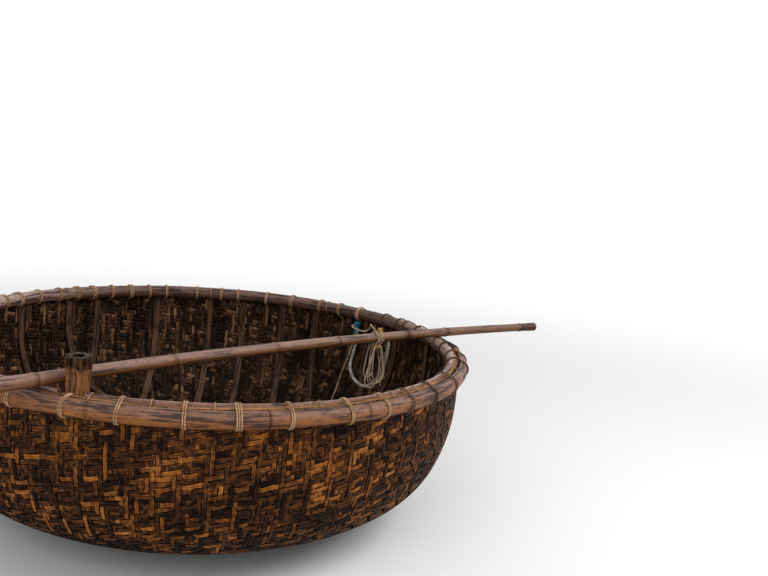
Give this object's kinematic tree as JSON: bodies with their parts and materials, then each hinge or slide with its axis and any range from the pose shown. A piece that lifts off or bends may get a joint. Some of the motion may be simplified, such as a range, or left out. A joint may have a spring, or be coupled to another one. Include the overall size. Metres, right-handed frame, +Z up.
{
  "type": "round basket coracle",
  "caption": "Round woven bamboo basket boat with a lashed bamboo rim, inner ribs, a hollow thole post and a pole across the rim.",
  "frame": {"origin": "middle of the flat bottom, on the ground", "axes": "+Z up, +X to the side where the pole's thin end runs out over the rim, +Y away from the thole post's side"},
  "size_m": [2.3723, 2.1832, 0.7461],
  "materials": {
    "woven_hull": "matt, tarred weave",
    "hoop_bamboo": "satin, weathered",
    "lath_bamboo": "matt",
    "rib_bamboo": "matt, grey",
    "post_bamboo": "matt, cracked",
    "pole_bamboo": "satin, weathered",
    "pale_cord": "twisted cord",
    "grey_rope": "twisted rope",
    "blue_cloth": "knotted rag"
  },
  "bodies": {
    "root": {"bridle": "grey_rope", "hank": "pale_cord", "hull_shell": "woven_hull", "inner_hoop_1": "hoop_bamboo", "inner_hoop_2": "hoop_bamboo", "inner_hoop_3": "hoop_bamboo", "lashings_corner": "pale_cord", "lashings_far": "pale_cord", "lashings_left": "pale_cord", "lashings_near": "pale_cord", "lashings_right": "pale_cord", "lath_1": "lath_bamboo", "lath_2": "lath_bamboo", "outer_hoop_1": "hoop_bamboo", "outer_hoop_2": "hoop_bamboo", "outer_hoop_3": "hoop_bamboo", "pole": "pole_bamboo", "post_tie": "pale_cord", "rib_cross_1": "rib_bamboo", "rib_cross_2": "rib_bamboo", "rib_cross_3": "rib_bamboo", "rib_cross_4": "rib_bamboo", "rib_cross_5": "rib_bamboo", "rib_cross_6": "rib_bamboo", "rib_cross_7": "rib_bamboo", "rib_long_1": "rib_bamboo", "rib_long_2": "rib_bamboo", "rib_long_3": "rib_bamboo", "rib_long_4": "rib_bamboo", "rib_long_5": "rib_bamboo", "rib_long_6": "rib_bamboo", "rib_long_7": "rib_bamboo", "rim_tie": "pale_cord", "tail_cord": "pale_cord", "tether": "pale_cord", "thole_post": "post_bamboo", "tie_knot": "blue_cloth", "whipping": "pale_cord"}
  },
  "joints": []
}
